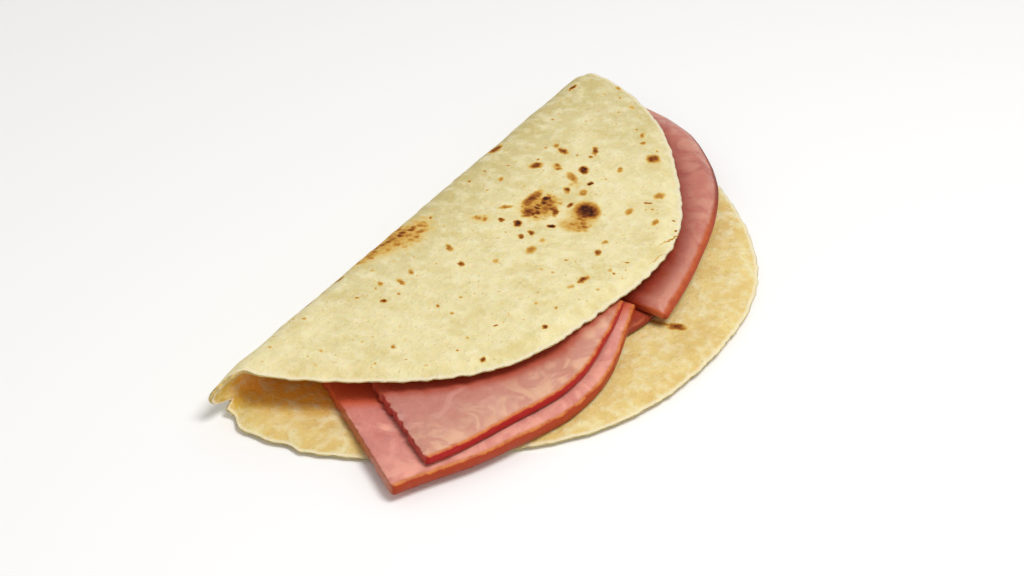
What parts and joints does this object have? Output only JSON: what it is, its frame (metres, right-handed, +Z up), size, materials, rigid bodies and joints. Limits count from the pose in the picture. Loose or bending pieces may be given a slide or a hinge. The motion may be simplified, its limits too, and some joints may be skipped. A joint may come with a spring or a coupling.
{
  "type": "ham taco",
  "caption": "Toasted flour tortilla folded in half over overlapping wedges of thin sliced cooked ham, lying flat.",
  "frame": {"origin": "middle of the bottom of the whole part's box, on the surface that the tortilla lies on", "axes": "+X along the fold, +Y towards the fold, so the open edge faces -Y, and +Z up"},
  "size_m": [0.2158, 0.1048, 0.0165],
  "materials": {
    "tortilla": "matte, dry baked dough with brown toasted spots",
    "ham": "moist satin, with a glossy orange-brown skin along the curved side"
  },
  "bodies": {
    "root": {"tortilla": "tortilla", "ham_slice_back_lower": "ham", "ham_slice_back_upper": "ham", "ham_slice_front_lower": "ham", "ham_slice_front_upper": "ham"}
  },
  "joints": []
}
